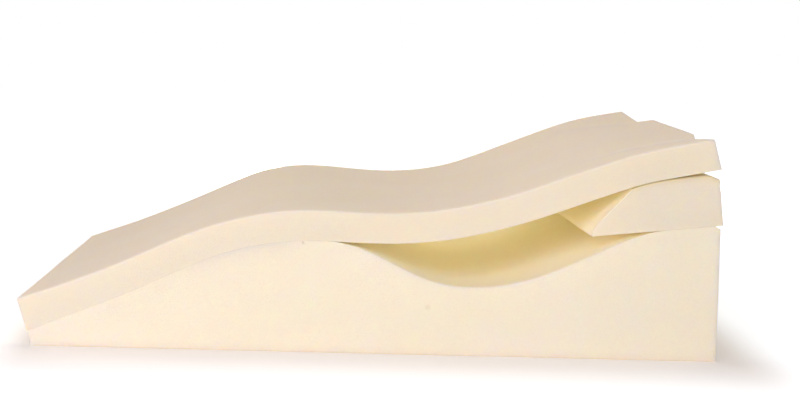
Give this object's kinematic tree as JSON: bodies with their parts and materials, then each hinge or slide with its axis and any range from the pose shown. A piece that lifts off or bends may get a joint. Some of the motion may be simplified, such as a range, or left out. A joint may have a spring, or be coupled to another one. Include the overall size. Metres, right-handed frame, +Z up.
{
  "type": "leg elevation pillow",
  "caption": "Leg elevation pillow core of bare cut foam: a scooped base wedge, a bevelled riser block on its high end, and a thick wavy sheet lying over both.",
  "frame": {"origin": "centre of the bounding box's bottom, on the surface that the base wedge stands on", "axes": "+X from the low end to the high end, +Y from the near side to the far side, +Z up"},
  "size_m": [0.7672, 0.545, 0.2485],
  "materials": {
    "foam": "matte cream open-cell foam with crisp cut edges"
  },
  "bodies": {
    "root": {"base_wedge": "foam", "riser_block": "foam", "top_sheet": "foam"}
  },
  "joints": []
}
